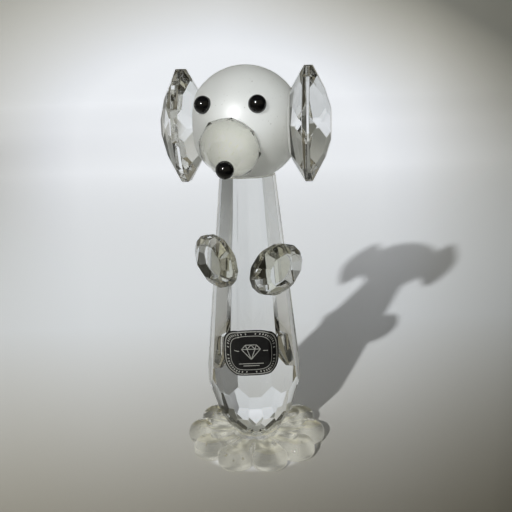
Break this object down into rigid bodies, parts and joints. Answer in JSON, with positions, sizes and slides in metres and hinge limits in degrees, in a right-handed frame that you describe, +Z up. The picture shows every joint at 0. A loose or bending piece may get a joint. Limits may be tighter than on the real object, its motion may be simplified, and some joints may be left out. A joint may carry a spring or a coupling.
{
  "type": "crystal glass dog figurine",
  "caption": "Dog figurine of glued cut crystal: flower base, tall tapered prism body, satin ball head, faceted ears, muzzle and paws, black bead eyes and nose.",
  "frame": {"origin": "centre of the flat underside of the flower base", "axes": "+Z up along the body; the body's label side faces -Y, +X is to the right of someone facing the label"},
  "size_m": [0.0458, 0.0421, 0.109],
  "materials": {
    "cut_crystal": "polished clear cut crystal",
    "pressed_glass": "fire-polished pressed glass with a faint yellow-grey tint and seeds",
    "frosted_crystal": "satin frosted crystal",
    "black_glass": "glossy black glass bead",
    "foil_label": "black printed foil with silver lines",
    "clear_adhesive": "thin clear cured adhesive"
  },
  "bodies": {
    "root": {"base_flower": "pressed_glass", "body_prism": "cut_crystal", "ear_left": "cut_crystal", "ear_right": "cut_crystal", "muzzle": "cut_crystal", "paw_left": "cut_crystal", "paw_right": "cut_crystal", "head_ball": "frosted_crystal", "eye_left": "black_glass", "eye_right": "black_glass", "nose": "black_glass", "label": "foil_label", "base_bond": "clear_adhesive", "neck_bond": "clear_adhesive", "ear_bond_left": "clear_adhesive", "ear_bond_right": "clear_adhesive", "muzzle_bond": "clear_adhesive", "nose_bond": "clear_adhesive", "eye_bond_left": "clear_adhesive", "eye_bond_right": "clear_adhesive", "paw_bond_left": "clear_adhesive", "paw_bond_right": "clear_adhesive"}
  },
  "joints": []
}
